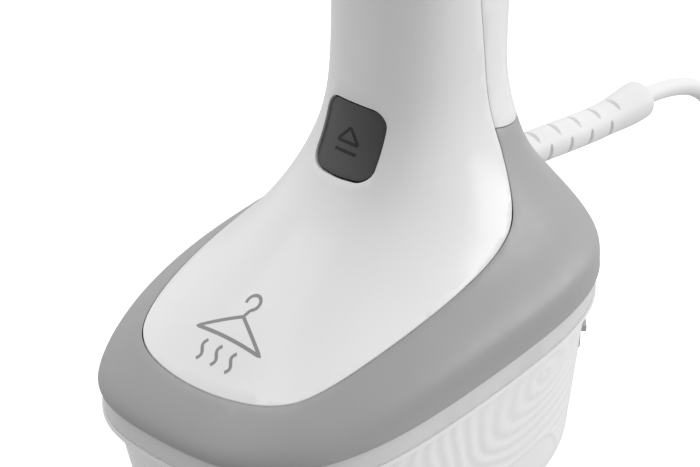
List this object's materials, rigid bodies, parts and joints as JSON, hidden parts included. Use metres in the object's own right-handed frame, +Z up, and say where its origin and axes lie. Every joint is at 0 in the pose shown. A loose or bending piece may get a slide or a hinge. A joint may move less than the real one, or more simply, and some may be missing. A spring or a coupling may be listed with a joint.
{
  "type": "handheld garment steamer",
  "caption": "Upright handheld garment steamer with a lift-off water tank, release button, trigger, steam head and mains lead with a tapered strain relief.",
  "frame": {"origin": "on the surface it stands on, under the middle of the water tank", "axes": "+Z up through the handle; -Y is the side that the steam plate, trigger and release button face; the mains lead leaves towards +Y; +X is the side with the fill plug"},
  "size_m": [0.1369, 0.3718, 0.2846],
  "materials": {
    "gloss_white": "glossy white ABS moulding",
    "satin_grey": "satin mid-grey moulding",
    "button_grey": "satin dark grey moulding",
    "tank_plastic": "milky translucent polypropylene",
    "rim_white": "satin white moulding",
    "soft_grey": "soft silicone rubber",
    "silicone": "translucent silicone",
    "inner_plastic": "unpolished glass-filled nylon",
    "spring_steel": "drawn spring wire",
    "copper_coil": "enamelled copper winding",
    "zinc_steel": "zinc plated steel",
    "steam_plate_steel": "brushed stainless steel",
    "cast_aluminium": "die-cast, unpolished",
    "element_steel": "heat-darkened steel sheath",
    "mica": "pressed mica sheet",
    "board_green": "solder-masked circuit board",
    "lens": "tinted clear lens",
    "cord_white": "soft white PVC",
    "nickel_pin": "nickel plated brass"
  },
  "bodies": {
    "tank": {"tank_shell": "tank_plastic", "fill_neck": "tank_plastic", "tank_lid": "rim_white", "socket_seal": "silicone", "pickup_tube": "tank_plastic", "pickup_filter": "inner_plastic"},
    "plug": {"fill_plug": "soft_grey"},
    "housing": {"front_cover": "gloss_white", "rear_handle_cover": "gloss_white", "base_shell": "satin_grey", "button_guide": "inner_plastic", "button_spring": "spring_steel", "base_frame": "inner_plastic", "inlet_spigot": "inner_plastic", "latch_spring": "spring_steel", "pump_body": "inner_plastic", "pump_coil": "copper_coil", "pump_bracket": "zinc_steel", "pump_spring": "spring_steel", "suction_hose": "silicone", "pressure_hose": "silicone", "head_housing": "gloss_white", "head_bezel": "satin_grey", "steam_plate": "steam_plate_steel", "plate_gasket": "silicone", "chamber_cover": "cast_aluminium", "chamber_seal": "silicone", "heater_block": "cast_aluminium", "heating_element": "element_steel", "thermostat": "zinc_steel", "thermal_fuse": "zinc_steel", "head_screws": "zinc_steel", "heat_shield": "mica", "handle_frame": "inner_plastic", "trigger_pin": "zinc_steel", "trigger_spring": "spring_steel", "switch_body": "inner_plastic", "circuit_board": "board_green", "power_switch": "inner_plastic", "power_lens": "lens", "indicator_led": "lens", "case_screws": "zinc_steel", "cord_clamp": "inner_plastic", "clamp_screws": "zinc_steel", "lead_tail": "cord_white", "terminal_block": "inner_plastic", "wiring_loom": "cord_white", "strain_relief": "cord_white", "cord_tube": "cord_white", "cord_coil": "cord_white", "cord_end": "cord_white", "plug_body": "cord_white", "plug_pins": "nickel_pin"},
    "release_button": {"release_button": "button_grey"},
    "latch": {"latch_bar": "inner_plastic"},
    "trigger": {"trigger": "button_grey"},
    "switch_plunger": {"switch_plunger": "soft_grey"},
    "power_button": {"power_button": "button_grey"},
    "pump_plunger": {"pump_plunger": "zinc_steel"}
  },
  "joints": [
    {"name": "housing_lift", "type": "slide", "parent": "tank", "child": "housing", "axis": [0, 0, 1], "range_m": [0, 0.07]},
    {"name": "fill_plug_pull", "type": "slide", "parent": "tank", "child": "plug", "axis": [0.766, 0.6428, 0], "range_m": [0, 0.012]},
    {"name": "release_press", "type": "slide", "parent": "housing", "child": "release_button", "axis": [0, 0.9033, -0.4289], "range_m": [0, 0.0025], "stiffness_N_per_m": 600, "springref_m": -0.002, "deforming": ["button_spring"]},
    {"name": "latch_slide", "type": "slide", "parent": "housing", "child": "latch", "axis": [0, 1, 0], "range_m": [0, 0.0023], "deforming": ["latch_spring"]},
    {"name": "trigger_pull", "type": "hinge", "parent": "housing", "child": "trigger", "pos_m": [0, 0.012, 0.214], "axis": [1, 0, 0], "range_deg": [0, 5], "stiffness_Nm_per_rad": 2, "springref_deg": -6.88, "deforming": ["trigger_spring"]},
    {"name": "switch_travel", "type": "slide", "parent": "housing", "child": "switch_plunger", "axis": [0, 1, 0], "range_m": [0, 0.0021]},
    {"name": "power_press", "type": "slide", "parent": "housing", "child": "power_button", "axis": [0, -1, 0], "range_m": [0, 0.0008], "stiffness_N_per_m": 800, "springref_m": -0.001},
    {"name": "pump_stroke", "type": "slide", "parent": "housing", "child": "pump_plunger", "axis": [0, 0, 1], "range_m": [-0.002, 0.002], "stiffness_N_per_m": 1500, "deforming": ["pump_spring"]}
  ],
  "couplings": [
    {"joint": "latch_slide", "follows": "release_press", "ratio": 0.9},
    {"joint": "switch_travel", "follows": "trigger_pull", "m_per_rad": 0.024}
  ]
}
